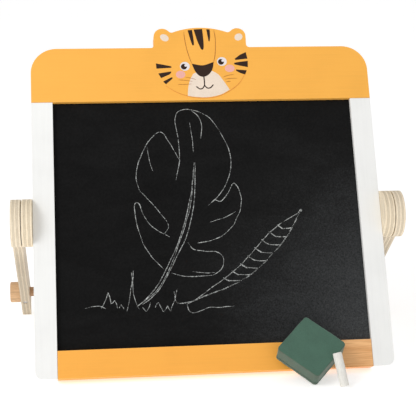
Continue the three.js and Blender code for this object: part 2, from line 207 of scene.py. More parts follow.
def between(tree, value, low, high, start=0.0, end=1.0):
    """Maps low..high to start..end, and holds it there."""
    settings = {0: value, 1: low, 2: high, 3: start, 4: end}
    return add(tree, "ShaderNodeMapRange", settings).outputs[0]


def reckon(tree, operation, *values):
    """One step of arithmetic."""
    return add(tree, "ShaderNodeMath", dict(enumerate(values)), operation=operation).outputs[0]


def ramp(tree, value, *stops):
    """A colour for each place along a value from 0 to 1."""
    made = add(tree, "ShaderNodeValToRGB", {0: value})
    elements = made.color_ramp.elements
    elements[0].position, elements[1].position = stops[0][0], stops[-1][0]
    elements[0].color, elements[1].color = (*stops[0][1], 1.0), (*stops[-1][1], 1.0)
    for place, colour in stops[1:-1]:
        elements.new(place).color = (*colour, 1.0)
    return made.outputs[0]


def mixed(tree, share, first, second, blend="MIX"):
    """Two colours mixed by a share, each one a socket or a colour."""
    made = add(tree, "ShaderNodeMix", data_type="RGBA", blend_type=blend)
    for slot, value in ((0, share), (6, first), (7, second)):
        if isinstance(value, bpy.types.NodeSocket):
            tree.links.new(value, made.inputs[slot])
        elif slot == 0:
            made.inputs[slot].default_value = value
        else:
            made.inputs[slot].default_value = (*value, 1.0)
    return made.outputs[2]


def toned(colour, factor):
    """A colour made lighter or darker."""
    return tuple(min(part * factor, 1.0) for part in colour)


def tinted(colour, tint):
    """A colour multiplied by another."""
    return tuple(min(part * share, 1.0) for part, share in zip(colour, tint))


def near_edges(tree, width):
    """About 1 on rounded edges and 0 on flat faces."""
    soft = add(tree, "ShaderNodeBevel", {"Radius": width * MM}, samples=4).outputs[0]
    flat = add(tree, "ShaderNodeNewGeometry").outputs["Normal"]
    likeness = add(tree, "ShaderNodeVectorMath", {0: soft, 1: flat}, operation="DOT_PRODUCT").outputs["Value"]
    return between(tree, likeness, 0.995, 0.93)


def facing(tree, axis):
    """1 where the surface faces along an axis, either way, and 0 where it runs along it."""
    normal = add(tree, "ShaderNodeTexCoord").outputs["Normal"]
    along = add(tree, "ShaderNodeVectorMath", {0: normal, 1: tuple(axis)}, operation="DOT_PRODUCT")
    return reckon(tree, "ABSOLUTE", along.outputs["Value"])


def bumped(tree, height, depth, strength=0.5):
    """A bump whose full height is a depth in millimetres."""
    settings = {"Height": height, "Distance": depth * MM, "Strength": strength}
    return add(tree, "ShaderNodeBump", settings).outputs[0]


def surface(name, **settings):
    """A new material, its node tree, and its shader with constant values set."""
    material = bpy.data.materials.new(name)
    material.use_nodes = True
    tree = material.node_tree
    shader = tree.nodes["Principled BSDF"]
    for key, value in settings.items():
        shader.inputs[key.replace("_", " ")].default_value = value
    return material, tree, shader


def finish(tree, shader, colour, roughness, normal=None):
    tree.links.new(colour, shader.inputs["Base Color"])
    tree.links.new(roughness, shader.inputs["Roughness"])
    if normal:
        tree.links.new(normal, shader.inputs["Normal"])


# ---- Materials ------------------------------------------------------------------------------------


def painted(name, slot, grain, worn, tint=(1.0, 1.0, 1.0), grain_and_shade_from=None):
    """Satin paint over wood, with a trace of grain, fine orange peel and thinner paint on the edges."""
    material, tree, shader = surface(name, Specular_IOR_Level=0.35)
    base = tinted(COLOURS[slot], tint)
    cloud = speckle(tree, (45, 45, 45), BOARD_LEAN, detail=3.0)
    fibre = speckle(tree, grain, BOARD_LEAN, detail=4.0)
    tone = reckon(tree, "ADD", reckon(tree, "MULTIPLY", cloud, 0.6), reckon(tree, "MULTIPLY", fibre, 0.4))
    colour = ramp(tree, tone, (0.3, toned(base, 0.955)), (0.5, base), (0.7, toned(base, 1.03)))
    # On the bottom rail: bare grain mixed with painted shade for the eraser's shadow
    if grain_and_shade_from is not None:
        colour = grain_and_painted_shade(tree, colour, grain_and_shade_from)
    patch = between(tree, speckle(tree, (6, 6, 6), detail=4.0), 0.42, 0.62)
    wear = reckon(tree, "MULTIPLY", near_edges(tree, RAIL_EDGE), patch)
    colour = mixed(tree, reckon(tree, "MULTIPLY", wear, 0.5), colour, worn)
    peel = speckle(tree, (1.4, 1.4, 1.4), detail=2.0)
    height = reckon(tree, "ADD", peel, reckon(tree, "MULTIPLY", fibre, 0.8))
    finish(tree, shader, colour, between(tree, cloud, 0.3, 0.7, 0.4, 0.55), bumped(tree, height, 0.05, 0.35))
    return material


def grain_and_painted_shade(tree, colour, start):
    """Bare grain that shows through the paint from a distance to the right of the middle, in mm; this darker
    patch is also painted shade for the eraser's shadow on the rail.
    """
    across = add(tree, "ShaderNodeSeparateXYZ", {0: spread(tree, (1, 1, 1))}).outputs[0]
    sway = between(tree, speckle(tree, (12, 10, 10), BOARD_LEAN), 0.3, 0.7, -8.0, 8.0)
    share = between(tree, reckon(tree, "ADD", across, sway), start, start + GRAIN_AND_SHADE_FADE, 0.0, 0.9)
    figure = speckle(tree, (60, 3.2, 3.2), BOARD_LEAN, detail=4.0, twist=0.8)
    fibres = speckle(tree, (16, 0.7, 0.7), BOARD_LEAN, detail=3.0)
    wood = ramp(tree, figure, (0.3, (0.68, 0.31, 0.11)), (0.5, (0.85, 0.47, 0.22)), (0.7, (0.95, 0.57, 0.28)))
    lines = ramp(tree, fibres, (0.3, (0.84, 0.78, 0.72)), (0.5, (1.0, 1.0, 1.0)))
    return mixed(tree, share, colour, mixed(tree, 1.0, wood, lines, "MULTIPLY"))


def chalkboard():
    """Matte black board paint with grain, wiped clouds of dust, and more dust at its lower right."""
    material, tree, shader = surface("chalkboard_paint", Specular_IOR_Level=0.06)
    base = COLOURS["chalkboard"]
    parts = add(tree, "ShaderNodeSeparateXYZ", {0: spread(tree, (1, 1, 1), BOARD_LEAN)})
    lowest = ORIGIN.dot(UP) / MM
    sideways = between(tree, parts.outputs[0], -60.0, 190.0)
    downwards = between(tree, parts.outputs[1], lowest + 330.0, lowest + 30.0)
    corner = reckon(tree, "POWER", reckon(tree, "MULTIPLY", sideways, downwards), 1.6)
    wipes = speckle(tree, (70, 26, 60), BOARD_LEAN, detail=5.0, twist=0.8)
    cloud = between(tree, wipes, 0.35, 0.75)
    grit = speckle(tree, (1.3, 1.3, 1.3), detail=3.0)
    dust = reckon(tree, "ADD", reckon(tree, "MULTIPLY", corner, 0.95), reckon(tree, "MULTIPLY", cloud, 0.09))
    dust = reckon(tree, "MULTIPLY", dust, between(tree, grit, 0.3, 0.7, 0.55, 1.45))
    thin, thick = (0.036, 0.0375, 0.0385), (0.075, 0.078, 0.08)
    colour = ramp(tree, dust, (0.0, toned(base, 0.66)), (0.13, toned(base, 1.05)), (0.4, thin), (1.0, thick))
    mottle = speckle(tree, (2.4, 2.4, 2.4), detail=3.0)
    shade = ramp(tree, mottle, (0.36, (0.72, 0.72, 0.72)), (0.64, (1.0, 1.0, 1.0)))
    colour = mixed(tree, 1.0, colour, shade, "MULTIPLY")
    finish(tree, shader, colour, between(tree, grit, 0.3, 0.7, 0.72, 0.9), bumped(tree, grit, 0.06, 0.5))
    return material


def wipe_sheet():
    """Gloss white sheet with faint wiped smears."""
    material, tree, shader = surface("wipe_sheet", Specular_IOR_Level=0.5, Coat_Weight=0.2)
    base = COLOURS["wipe_surface"]
    smear = speckle(tree, (60, 16, 40), BOARD_LEAN, detail=4.0, twist=1.0)
    colour = ramp(tree, smear, (0.35, toned(base, 0.94)), (0.6, base), (0.8, toned(base, 1.02)))
    fine = speckle(tree, (2.5, 2.5, 2.5))
    finish(tree, shader, colour, between(tree, smear, 0.3, 0.7, 0.12, 0.28), bumped(tree, fine, 0.02, 0.2))
    return material


def plywood(name, inner, outer, lean, tint, shade_tone=1.0):
    """Birch plywood whose plies lie across X between two distances from the middle, in metres.

    Under the hinge its colour darkens by a given tone, as painted shade on the legs' lower parts.
    """
    material, tree, shader = surface(name, Specular_IOR_Level=0.25)
    base = tinted(COLOURS["plywood"], tint)
    place = add(tree, "ShaderNodeSeparateXYZ", {0: spread(tree, (1, 1, 1))})
    depth = reckon(tree, "SUBTRACT", reckon(tree, "ABSOLUTE", place.outputs[0]), inner / MM)
    layer = reckon(tree, "DIVIDE", depth, (outer - inner) / MM / PLY_COUNT)
    sway = between(tree, speckle(tree, (30, 22, 22), lean), 0.3, 0.7, -0.1, 0.1)
    pair = reckon(tree, "FRACT", reckon(tree, "DIVIDE", reckon(tree, "ADD", layer, sway), 2.0))
    glue, light, dark = (0.42, 0.29, 0.17), toned(base, 1.06), toned(base, 0.84)
    light_ply = (0.0, glue), (0.035, light), (0.465, light), (0.5, glue)
    dark_ply = (0.535, dark), (0.965, dark), (1.0, glue)
    bands = ramp(tree, pair, *light_ply, *dark_ply)
    dashes = speckle(tree, (0.6, 9, 9), lean, detail=4.0)
    pores = speckle(tree, (0.5, 0.7, 0.7), lean, detail=3.0)
    flecks = ramp(tree, dashes, (0.3, (0.86, 0.83, 0.79)), (0.55, (1.0, 1.0, 1.0)))
    dots = ramp(tree, pores, (0.32, (0.84, 0.8, 0.75)), (0.5, (1.0, 1.0, 1.0)))
    edge = mixed(tree, 1.0, mixed(tree, 1.0, bands, flecks, "MULTIPLY"), dots, "MULTIPLY")
    figure = speckle(tree, (4, 60, 5), lean, detail=5.0, twist=0.6)
    fibres = speckle(tree, (0.5, 14, 0.8), lean, detail=3.0)
    stops = (0.3, toned(base, 0.82)), (0.5, toned(base, 1.0)), (0.72, toned(base, 1.12))
    face = ramp(tree, figure, *stops)
    lines = ramp(tree, fibres, (0.32, (0.85, 0.81, 0.76)), (0.5, (1.0, 1.0, 1.0)))
    face = mixed(tree, 1.0, face, lines, "MULTIPLY")
    colour = mixed(tree, between(tree, facing(tree, RIGHT), 0.5, 0.8), edge, face)
    # Painted shade: the legs get darker below the hinge
    lower = between(tree, place.outputs[2], HINGE.z / MM - LEG_SHADE_FADE[0], HINGE.z / MM - LEG_SHADE_FADE[1])
    colour = mixed(tree, lower, colour, mixed(tree, 1.0, colour, (shade_tone,) * 3, "MULTIPLY"))
    height = reckon(tree, "ADD", dashes, reckon(tree, "MULTIPLY", pores, 0.6))
    finish(tree, shader, colour, between(tree, dashes, 0.3, 0.7, 0.5, 0.7), bumped(tree, height, 0.12, 0.5))
    return material


def beech(name, along, lean, tint=(1.0, 1.0, 1.0)):
    """Turned beech with streaks and short dark flecks along its grain, darker on its end grain."""
    material, tree, shader = surface(name, Specular_IOR_Level=0.3)
    base = tinted(COLOURS["beech"], tint)
    streak_size = (45, 2.2, 2.2) if along == RIGHT else (2.2, 45, 2.2)
    fleck_size = (4, 0.4, 0.4) if along == RIGHT else (0.4, 4, 0.4)
    streak = speckle(tree, streak_size, lean, detail=4.0, twist=0.3)
    fleck = speckle(tree, fleck_size, lean, detail=2.0)
    stops = (0.28, toned(base, 0.82)), (0.5, base), (0.72, toned(base, 1.16))
    colour = ramp(tree, streak, *stops)
    flecks = ramp(tree, fleck, (0.3, (0.68, 0.6, 0.52)), (0.42, (1.0, 1.0, 1.0)))
    colour = mixed(tree, 0.8, colour, flecks, "MULTIPLY")
    rings = speckle(tree, (40, 1.1, 1.1) if along == RIGHT else (1.1, 40, 1.1), lean, detail=1.0)
    ends = ramp(tree, rings, (0.35, toned(base, 0.6)), (0.65, toned(base, 0.9)))
    colour = mixed(tree, between(tree, facing(tree, along), 0.6, 0.9, 0.0, 0.75), colour, ends)
    height = reckon(tree, "ADD", fleck, streak)
    finish(tree, shader, colour, between(tree, streak, 0.3, 0.7, 0.45, 0.62), bumped(tree, height, 0.08, 0.4))
    return material


def metal(name, slot, dull):
    """Plated or turned metal with uneven sheen, fine turning marks and duller spots."""
    material, tree, shader = surface(name, Metallic=1.0)
    base = COLOURS[slot]
    marks = speckle(tree, (0.25, 3, 3), detail=3.0)
    spots = speckle(tree, (2.2, 2.2, 2.2), detail=4.0)
    colour = ramp(tree, spots, (0.3, toned(base, 0.72)), (0.5, base), (0.7, toned(base, 1.2)))
    worn = near_edges(tree, METAL_EDGE)
    colour = mixed(tree, reckon(tree, "MULTIPLY", worn, 0.5), colour, toned(base, 1.5))
    finish(tree, shader, colour, between(tree, spots, 0.3, 0.7, dull, dull + 0.2), bumped(tree, marks, 0.03))
    return material


def nylon():
    """Milky moulded washer."""
    material, tree, shader = surface("nylon_natural", Subsurface_Weight=0.1)
    base = COLOURS["nylon"]
    cloud = speckle(tree, (3, 3, 3), detail=3.0)
    colour = ramp(tree, cloud, (0.3, toned(base, 0.9)), (0.7, toned(base, 1.05)))
    finish(tree, shader, colour, between(tree, cloud, 0.3, 0.7, 0.4, 0.55), bumped(tree, cloud, 0.03))
    return material


def eraser_material(name, slot, grain, face):
    """Green foam or felt, with pores or fibres; its sides carry painted shade in a darker green, and its
    rounded edges are darker still.
    """
    material, tree, shader = surface(name, Specular_IOR_Level=0.12, Sheen_Weight=0.25, Sheen_Roughness=0.6)
    base = tinted(COLOURS[slot], (0.84, 1.0, 1.0))
    side_shade = (0.068, 0.092, 0.060)
    cloud = speckle(tree, (16, 16, 16), detail=3.0)
    pores = speckle(tree, grain, detail=3.0)
    colour = ramp(tree, cloud, (0.3, toned(base, 0.93)), (0.7, toned(base, 1.07)))
    holes = ramp(tree, pores, (0.3, (0.8, 0.8, 0.8)), (0.5, (1.0, 1.0, 1.0)))
    colour = mixed(tree, 1.0, colour, holes, "MULTIPLY")
    # Painted shade: faces that turn away from the eraser's face are mixed, unevenly, toward a darker green
    sides = between(tree, facing(tree, face), 0.9, 0.3)
    shade_patches = between(tree, speckle(tree, (9, 9, 9), detail=5.0), 0.35, 0.7)
    share = reckon(tree, "MULTIPLY", sides, reckon(tree, "ADD", reckon(tree, "MULTIPLY", shade_patches, 0.4), 0.5))
    colour = mixed(tree, share, colour, side_shade)
    # The rounded edges are mixed toward a still darker copy of that painted side shade
    rim = reckon(tree, "MULTIPLY", near_edges(tree, FOAM_EDGE), 0.3)
    colour = mixed(tree, rim, colour, toned(side_shade, 0.9))
    finish(tree, shader, colour, between(tree, pores, 0.3, 0.7, 0.85, 1.0), bumped(tree, pores, 0.25, 0.6))
    return material


def chalk_material():
    """Pressed white chalk with soft streaks, pits and dust."""
    material, tree, shader = surface("pressed_chalk", Specular_IOR_Level=0.1)
    base = tinted(COLOURS["chalk"], (1.14, 1.05, 1.06))
    streak = speckle(tree, (1.6, 1.6, 14), detail=4.0)
    pits = speckle(tree, (0.5, 0.5, 0.5), detail=3.0)
    colour = ramp(tree, streak, (0.3, toned(base, 0.93)), (0.7, toned(base, 1.06)))
    dots = ramp(tree, pits, (0.28, (0.82, 0.83, 0.82)), (0.42, (1.0, 1.0, 1.0)))
    colour = mixed(tree, 1.0, colour, dots, "MULTIPLY")
    finish(tree, shader, colour, between(tree, pits, 0.3, 0.7, 0.88, 1.0), bumped(tree, pits, 0.15, 0.6))
    return material


def mark_material():
    """Chalk on the board: it catches the board's grain, and thins out towards the edges of each stroke."""
    material, tree, shader = surface("chalk_marks", Specular_IOR_Level=0.15)
    across = add(tree, "ShaderNodeSeparateXYZ", {0: add(tree, "ShaderNodeTexCoord").outputs["UV"]}).outputs[1]
    off_centre = reckon(tree, "ABSOLUTE", reckon(tree, "SUBTRACT", across, 0.5))
    from_middle = reckon(tree, "MULTIPLY", off_centre, 2.0)
    grain = speckle(tree, (1.2, 1.2, 1.2), detail=3.0)
    press = speckle(tree, (6, 6, 6), detail=2.0)
    cover = reckon(tree, "ADD", grain, reckon(tree, "MULTIPLY", press, 0.7))
    cover = reckon(tree, "SUBTRACT", cover, reckon(tree, "MULTIPLY", from_middle, 0.3))
    share = between(tree, cover, 0.55, 1.0)
    colour = mixed(tree, share, toned(COLOURS["chalkboard"], 1.3), (0.62, 0.64, 0.62))
    finish(tree, shader, colour, between(tree, grain, 0.3, 0.7, 0.85, 1.0), bumped(tree, grain, 0.08, 0.6))
    return material


def ink(name, colour):
    """Matte print with a slightly uneven coat."""
    material, tree, shader = surface(name, Specular_IOR_Level=0.15)
    coat = speckle(tree, (1.3, 1.3, 1.3), detail=3.0)
    cloud = speckle(tree, (18, 18, 18), detail=2.0)
    tone = reckon(tree, "ADD", reckon(tree, "MULTIPLY", coat, 0.5), reckon(tree, "MULTIPLY", cloud, 0.5))
    shade = ramp(tree, tone, (0.35, toned(colour, 0.94)), (0.65, toned(colour, 1.05)))
    finish(tree, shader, shade, between(tree, cloud, 0.3, 0.7, 0.42, 0.55), bumped(tree, coat, 0.04, 0.3))
    return material


# ---- Building meshes ------------------------------------------------------------------------------


def link(name, mesh, material, body, stands_for=()):
    """Places a finished mesh on a body of the frame."""
    piece = bpy.data.objects.new(name, mesh)
    bpy.context.scene.collection.objects.link(piece)
    mesh.materials.append(material)
    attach(piece, body)
    if stands_for:
        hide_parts(*stands_for)
    return piece


def round_edges(bm, width, segments=EDGE_SEGMENTS):
    """Rounds every convex edge that is sharper than SHARP, by a width in metres."""
    rims = [e for e in bm.edges if len(e.link_faces) == 2 and e.is_convex and e.calc_face_angle() > SHARP]
    bmesh.ops.bevel(
        bm, geom=rims, offset=width, segments=segments, profile=0.5, affect="EDGES", clamp_overlap=True
    )


def welded_copy(node):
    """A CAD node's shape as one closed mesh with whole flat faces."""
    source = frame["nodes"][node].data
    bm = bmesh.new()
    corners = [bm.verts.new(vertex.co) for vertex in source.vertices]
    for face in source.polygons:
        bm.faces.new([corners[index] for index in face.vertices])
    bmesh.ops.remove_doubles(bm, verts=bm.verts, dist=WELD)
    bmesh.ops.dissolve_limit(bm, angle_limit=FLAT, verts=bm.verts, edges=bm.edges)
    bmesh.ops.recalc_face_normals(bm, faces=bm.faces)
    return bm


def to_mesh(name, bm):
    mesh = bpy.data.meshes.new(name)
    bm.to_mesh(mesh)
    bm.free()
    mesh.shade_smooth()
    return mesh


def keep_flat(piece):
    """Shades the flat faces flat and the rounded edges round."""
    weighting = piece.modifiers.new("flat faces", "WEIGHTED_NORMAL")
    weighting.keep_sharp = True
    weighting.weight = 100


def refined(node, material, edge):
    """A piece of the same shape as a CAD node, with rounded edges."""
    bm = welded_copy(node)
    round_edges(bm, edge * MM)
    mesh = to_mesh(node, bm)
    body = frame["nodes"][node]["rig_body"]
    piece = link(f"{node}_finished", mesh, material, body, [node])
    keep_flat(piece)
    return piece


def smooth_path(points, closed=False):
    """A smooth curve through a few points."""
    points = [Vector(point) for point in points]
    if closed:
        points = [points[-1], *points, points[0], points[1]]
    else:
        points = [points[0] * 2 - points[1], *points, points[-1] * 2 - points[-2]]
    path = []
    for before, start, end, after in zip(points, points[1:], points[2:], points[3:]):
        for step in range(PATH_STEPS):
            t = step / PATH_STEPS
            swing = (end - before) * t + (before * 2 - start * 5 + end * 4 - after) * t * t
            path.append(start + (swing + (start * 3 - before - end * 3 + after) * t * t * t) / 2)
    if not closed:
        path.append(points[-2])
    return path


def normals_along(path):
    """The direction across a path at each of its points."""
    across = []
    for index in range(len(path)):
        run = path[min(index + 1, len(path) - 1)] - path[max(index - 1, 0)]
        across.append(Vector((-run.y, run.x)).normalized())
    return across


def line_outline(points, width, taper=0.35):
    """The outline of a drawn line that thins towards its two ends."""
    path = smooth_path(points)
    across = normals_along(path)
    last = len(path) - 1
    left, right = [], []
    for index, (point, side) in enumerate(zip(path, across)):
        full = min(1.0, taper + 4.0 * min(index, last - index) / last)
        left.append(point + side * width / 2 * full)
        right.append(point - side * width / 2 * full)
    return left + right[::-1]


def oval(x, y, radius_x, radius_y, turn=0.0, steps=32):
    """The outline of an oval, turned by some degrees."""
    outline = []
    spin = Matrix.Rotation(math.radians(turn), 2)
    for step in range(steps):
        angle = step / steps * math.tau
        spot = Vector((radius_x * math.cos(angle), radius_y * math.sin(angle)))
        outline.append(Vector((x, y)) + spin @ spot)
    return outline


def flat_print(name, outlines, level, material):
    """Thin closed layers of print on the top rail's front. Outlines are measured from the head's base."""
    back = PRINT_GAP + level * PRINT_LAYER
    front = back + PRINT_LAYER
    base = HEAD_BASE - PRINT_DROP
    mesh = bpy.data.meshes.new(name)
    verts, faces = [], []
    for outline in outlines:
        start, count = len(verts), len(outline)
        verts += [(point[0], point[1] + base, back) for point in outline]
        verts += [(point[0], point[1] + base, front) for point in outline]
        for face in geometry.tessellate_polygon([[Vector((*point, 0.0)) for point in outline]]):
            faces.append([start + index for index in face])
            faces.append([start + count + index for index in reversed(face)])
        for index in range(count):
            after = (index + 1) % count
            faces.append([start + index, start + after, start + count + after, start + count + index])
    mesh.from_pydata([BOARD @ Vector(vert) for vert in verts], [], faces)
    bm = bmesh.new()
    bm.from_mesh(mesh)
    bmesh.ops.recalc_face_normals(bm, faces=bm.faces)
    bm.to_mesh(mesh)
    bm.free()
    return link(name, mesh, material, "board")


# ---- Rigid pieces ---------------------------------------------------------------------------------


def add_frame_pieces():
    """Rails, panels, legs, hardware: the CAD shapes with rounded edges and real finishes."""
    grain, worn = (70, 2.0, 3.0), (0.97, 0.60, 0.24)
    orange_top = painted("orange_satin_top", "orange_paint", grain, worn, TOP_RAIL_TINT)
    orange_bottom = painted(
        "orange_satin_bottom", "orange_paint", grain, worn, BOTTOM_RAIL_TINT, GRAIN_AND_SHADE_START
    )
    white = painted("white_satin", "white_paint", (2.0, 70, 3.0), (0.82, 0.79, 0.72))
    low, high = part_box("spacer_disc_right")
    disc_ply = plywood("plywood_discs", low.x, high.x, BOARD_LEAN, DISC_TINT)
    low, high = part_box("leg_right")
    leg_ply = plywood("plywood_legs", low.x, high.x, LEG_LEAN, LEG_TINT, LEG_SHADE_TONE)
    turned = beech("beech_turned", RIGHT, LEG_LEAN)
    rod = beech("beech_rod_shaded", RIGHT, LEG_LEAN, ROD_SHADE_TINT)
    upright = beech("beech_upright", UP, BOARD_LEAN)
    steel = metal("zinc_plate", "steel", 0.3)
    brass = metal("turned_brass", "brass", 0.25)
    washer = nylon()
    finishes = {
        "top_rail": (orange_top, RAIL_EDGE),
        "bottom_rail": (orange_bottom, RAIL_EDGE),
        "chalkboard_panel": (chalkboard(), PLY_EDGE / 2),
        "whiteboard_panel": (wipe_sheet(), PLY_EDGE / 2),
        "cross_rod": (rod, TURNED_EDGE),
    }
    for side in ("left", "right"):
        finishes[f"{side}_rail"] = (white, RAIL_EDGE)
        finishes[f"spacer_disc_{side}"] = (disc_ply, PLY_EDGE)
        finishes[f"leg_{side}"] = (leg_ply, PLY_EDGE)
        finishes[f"friction_washer_{side}"] = (washer, METAL_EDGE)
        finishes[f"threaded_insert_{side}"] = (brass, METAL_EDGE)
        finishes[f"pivot_bolt_{side}"] = (steel, METAL_EDGE)
        finishes[f"head_washer_{side}"] = (steel, METAL_EDGE)
        finishes[f"rod_knob_{side}"] = (turned, TURNED_EDGE)
        finishes[f"rod_screw_{side}"] = (steel, METAL_EDGE)
        finishes[f"dowel_top_{side}"] = (upright, TURNED_EDGE)
        finishes[f"dowel_bottom_{side}_1"] = (turned, TURNED_EDGE)
        finishes[f"dowel_bottom_{side}_2"] = (turned, TURNED_EDGE)
    for node, (material, edge) in finishes.items():
        refined(node, material, edge)


# ---- Print on the head ----------------------------------------------------------------------------


def add_face():
    """A tiger's face, printed on the top rail in flat colours."""
    brown = ink("print_brown", (0.036, 0.019, 0.013))
    blush = ink("print_blush", (0.885, 0.745, 0.615))
    white = ink("print_white", (0.83, 0.78, 0.78))
    pink = ink("print_pink", (0.89, 0.46, 0.40))
    ochre = ink("print_ochre", (0.78, 0.30, 0.06))

    ears = [oval(-42.4, 13.3, 5.4, 4.2, -35), oval(46.5, 13.5, 5.1, 4.3, 35)]
    muzzle_top = [(-18, -60.5), (-17, -51), (-15, -42.5), (-12, -36), (-7, -31.5), (12.6, -29.5)]
    muzzle_side = [(12.6, -29.5), (19.5, -34), (26, -43.2), (32, -53.4)]
    muzzle_chin = [(32, -53.4), (23, -58.6), (13, -61.5), (3.4, -62.6), (-8, -62), (-18, -60.5)]
    muzzle = smooth_path(muzzle_top)[:-1] + smooth_path(muzzle_side)[:-1] + smooth_path(muzzle_chin)[:-1]
    flat_print("print_muzzle_and_ears", [*ears, muzzle], 0, blush)

    flat_print("print_cheeks", [oval(-25.2, -33.6, 5.6, 4.8), oval(33.6, -26.5, 5.8, 4.7)], 0, pink)
    eyes = [(-19.7, -23.3), (24.7, -17.7)]
    flat_print("print_eyes", [oval(x, y, 5.8, 5.6) for x, y in eyes], 1, white)

    stripes = [
        smooth_path([(-14.2, 22.6), (-11.6, 11), (-9.4, 3.2)])[:-1]
        + smooth_path([(-9.4, 3.2), (-7.6, 4.2), (-7.8, 12), (-9, 23.2)]),
        smooth_path([(-7.0, 23.6), (-3.6, 10), (0.4, -1.2)])[:-1]
        + smooth_path([(0.4, -1.2), (2.3, -2.6), (3.9, 0.2), (4, 12), (3.2, 24.2)]),
        smooth_path([(8.2, 23.9), (9.4, 15), (10.2, 8.8)])[:-1]
        + smooth_path([(10.2, 8.8), (11.3, 8.4), (12.3, 15), (12.3, 23.4)]),
    ]
    wedges = [
        [(-53.8, -19.2), (-36.4, -22.9), (-35.2, -24.0), (-36.4, -25.0), (-53.4, -25.8)],
        [(-51.4, -31.9), (-36.6, -29.6), (-36.0, -30.9), (-38.0, -33.2), (-48.4, -37.8)],
        [(-46.2, -42.2), (-36.4, -37.0), (-34.8, -37.4), (-35.2, -38.8), (-43.0, -45.6)],
        [(40.2, -14.4), (46.8, -9.4), (54.0, -6.0), (55.6, -14.4), (41.2, -15.9)],
        [(39.2, -19.6), (46.9, -18.2), (55.8, -17.3), (55.4, -25.2), (46.0, -23.2), (39.6, -21.6)],
        [(40.8, -28.0), (53.8, -29.2), (51.8, -34.6), (46.0, -32.6), (41.6, -30.0)],
    ]
    flat_print("print_stripes", stripes + wedges, 0, brown)

    brow = smooth_path([(-11.3, -20.1), (1.8, -22.3), (14.8, -18.1)])
    nose_sides = [(14.8, -18.1), (13.6, -25), (11, -30.8), (6.6, -35.2), (1.2, -36.8)]
    nose_sides += [(-4.1, -34.6), (-8.2, -28.6), (-11.3, -20.1)]
    nose = brow[:-1] + smooth_path(nose_sides)[:-1]
    mouth = [
        line_outline([(2.2, -36.2), (2.6, -42), (2.5, -48)], 1.4, taper=0.8),
        line_outline([(2.5, -47.6), (0, -51.3), (-3.4, -51.9), (-7.4, -48.8)], 1.4, taper=0.8),
        line_outline([(2.5, -47.6), (5.6, -50.9), (9.4, -50.6), (13, -46.9)], 1.4, taper=0.8),
    ]
    flat_print("print_nose_and_mouth", [nose, *mouth], 1, brown)

    pupils = [oval(x - 1.1, y - 0.5, 3.6, 3.6) for x, y in eyes]
    flat_print("print_pupils", pupils, 2, brown)
    glints = [oval(x + 1.2, y + 1.0, 1.7, 1.5) for x, y in eyes]
    flat_print("print_glints", glints, 3, white)

    bridge = [
        line_outline([(-19, 20.5), (-18.5, 13), (-17, 1.6), (-14.5, -9.8), (-11.3, -20.1)], 0.55),
        line_outline([(17.2, 22.3), (18.3, 12.7), (18, 1.2), (16.8, -10.2), (14.8, -18.4)], 0.55),
    ]
    whiskers = [
        line_outline([(-19.5, -37.2), (-13, -38.4), (-7, -40.4)], 0.4),
        line_outline([(-28.2, -40.3), (-20, -41), (-11.4, -42.6)], 0.4),
        line_outline([(-29, -46), (-21, -46.1), (-12.6, -45.7)], 0.4),
        line_outline([(25, -37.6), (31, -35.4), (38, -34.3)], 0.4),
        line_outline([(27, -40.4), (34, -39.2), (42, -39.3)], 0.4),
        line_outline([(28.6, -43.6), (31, -43.1), (34, -43.2)], 0.4),
    ]
    flat_print("print_whiskers", bridge + whiskers, 3, ink("print_umber", (0.40, 0.14, 0.035)))
    chin = [(-43.2, -47.7), (-33, -54.6), (-22.7, -59.2), (-10.2, -62.5), (3.4, -63.4)]
    chin += [(17.3, -61.6), (32, -54.9), (43.7, -45.7), (51.9, -33.4)]
    flat_print("print_chin_line", [line_outline(chin, 0.6)], 3, ochre)


# ---- Chalk drawing --------------------------------------------------------------------------------


def add_stroke(verts, faces, across_values, points, width):
    """Adds one drawn stroke: a thin closed strip with an unsteady hand and uneven pressure."""
    path = smooth_path(points)
    across = normals_along(path)
    offset = CHANCE.uniform(0, 50)
    last = len(path) - 1
    start = len(verts)
    for index, (point, side) in enumerate(zip(path, across)):
        shake = noise.noise((point.x * 0.12, point.y * 0.12, offset)) * 0.5
        press = 0.85 + 0.45 * noise.noise((point.x * 0.09, point.y * 0.09, offset + 9))
        half = width * STROKE_SHARE / 2 * press * min(1.0, 0.4 + 5.0 * min(index, last - index) / last)
        for reach_across, depth in ((-half, 0), (-half, 1), (half, 1), (half, 0)):
            spot = point + side * (shake + reach_across)
            level = PANEL_FRONT + MARK_GAP + depth * MARK_DEPTH
            verts.append((spot.x, spot.y + HEAD_BASE - DRAWING_DROP, level))
            across_values.append(0.0 if reach_across < 0 else 1.0)
    for index in range(last):
        ring, after = start + index * 4, start + index * 4 + 4
        for corner in range(4):
            beside = (corner + 1) % 4
            faces.append([ring + corner, ring + beside, after + beside, after + corner])
    faces.append([start + 3, start + 2, start + 1, start])
    end = start + last * 4
    faces.append([end, end + 1, end + 2, end + 3])


